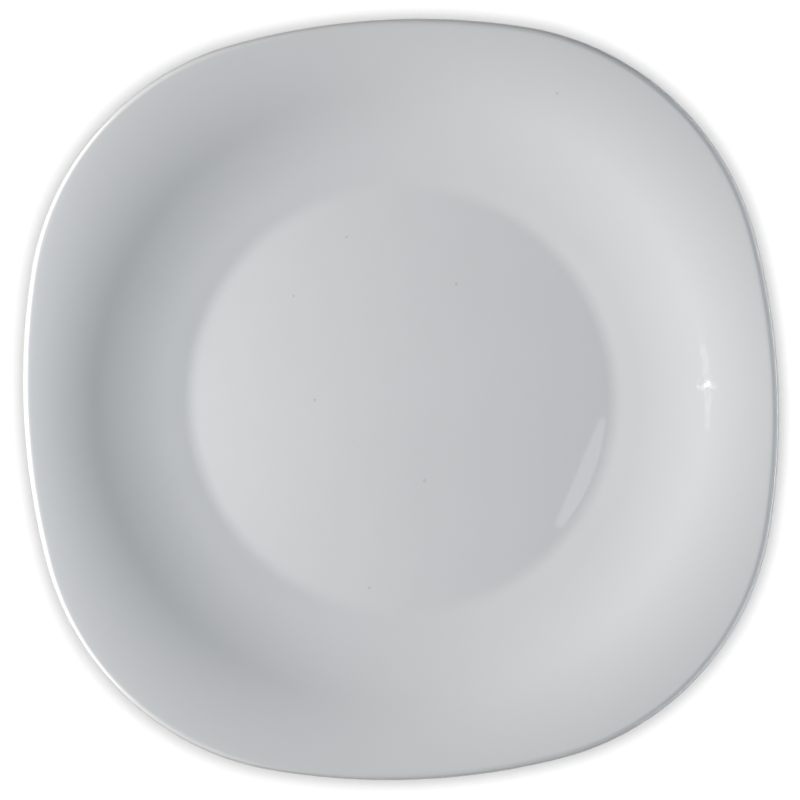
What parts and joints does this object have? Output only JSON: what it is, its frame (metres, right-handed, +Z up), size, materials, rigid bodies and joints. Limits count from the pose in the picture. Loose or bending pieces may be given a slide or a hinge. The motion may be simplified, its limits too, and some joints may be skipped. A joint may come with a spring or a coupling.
{
  "type": "square dinner plate",
  "caption": "Square dinner plate with bulging sides, round corners, a flat round well, a dished flange rising to a full-round lip, and a shallow foot ring.",
  "frame": {"origin": "on the plate's axis, in the plane that it stands on", "axes": "+Z is up, out of the well, and +X and +Y point at the middles of two neighbouring sides"},
  "size_m": [0.27, 0.27, 0.023],
  "materials": {
    "bare_clay": "matte, fired and ground, unglazed",
    "glaze": "gloss, cool white",
    "glaze_underside": "gloss, cool white, with a few pinholes"
  },
  "bodies": {
    "root": {"clay_body": "bare_clay", "upper_glaze": "glaze", "base_glaze": "glaze_underside"}
  },
  "joints": []
}
